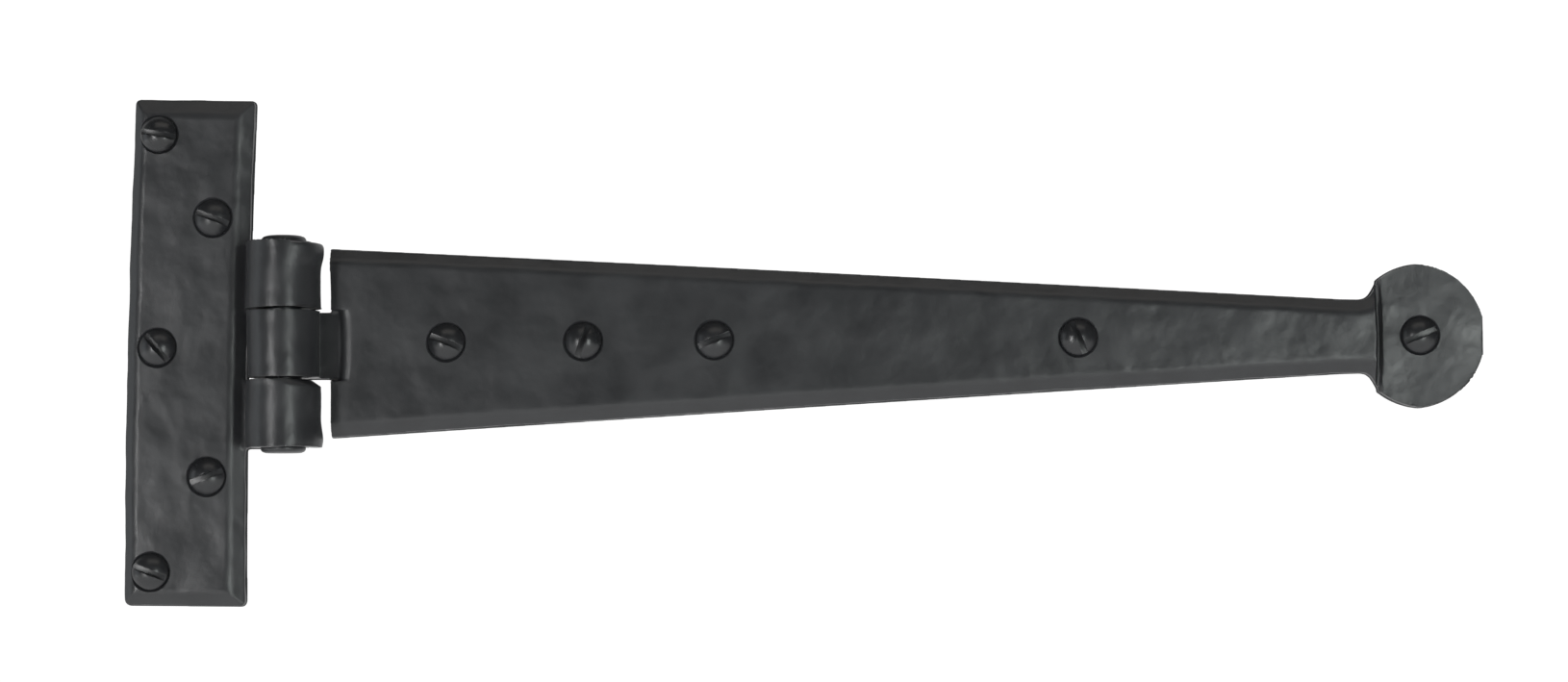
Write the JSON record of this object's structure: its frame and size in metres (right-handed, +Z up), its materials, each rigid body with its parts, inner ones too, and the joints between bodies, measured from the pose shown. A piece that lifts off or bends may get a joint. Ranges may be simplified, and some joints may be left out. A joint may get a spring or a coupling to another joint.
{
  "type": "strap hinge",
  "caption": "Black T-pattern strap hinge: a long tapered strap with a round penny end turns on a peened pin beside an upright flange; both leaves take slotted wood screws.",
  "frame": {"origin": "on the mounting plane (the backs of both leaves), straight behind the pin's axis, at the barrel's middle height", "axes": "+Z up along the pin, +X along the strap towards its penny end, +Y into the wood that the hinge is screwed to, so the front faces -Y"},
  "size_m": [0.3038, 0.0467, 0.114],
  "materials": {
    "leaf_paint": "satin black powder coat over lightly hammered forged steel",
    "pin_paint": "satin black powder coat over a peened steel pin",
    "screw_paint": "semi-gloss black japanned steel"
  },
  "bodies": {
    "flange_leaf": {"flange": "leaf_paint", "hinge_pin": "pin_paint", "flange_screw_1": "screw_paint", "flange_screw_2": "screw_paint", "flange_screw_3": "screw_paint", "flange_screw_4": "screw_paint", "flange_screw_5": "screw_paint"},
    "strap_leaf": {"strap": "leaf_paint", "strap_screw_1": "screw_paint", "strap_screw_2": "screw_paint", "strap_screw_3": "screw_paint", "strap_screw_4": "screw_paint", "penny_screw": "screw_paint"}
  },
  "joints": [
    {"name": "strap_swing", "type": "hinge", "parent": "flange_leaf", "child": "strap_leaf", "pos_m": [0, -0.0086, 0], "axis": [0, 0, -1], "range_deg": [-80, 190]}
  ]
}
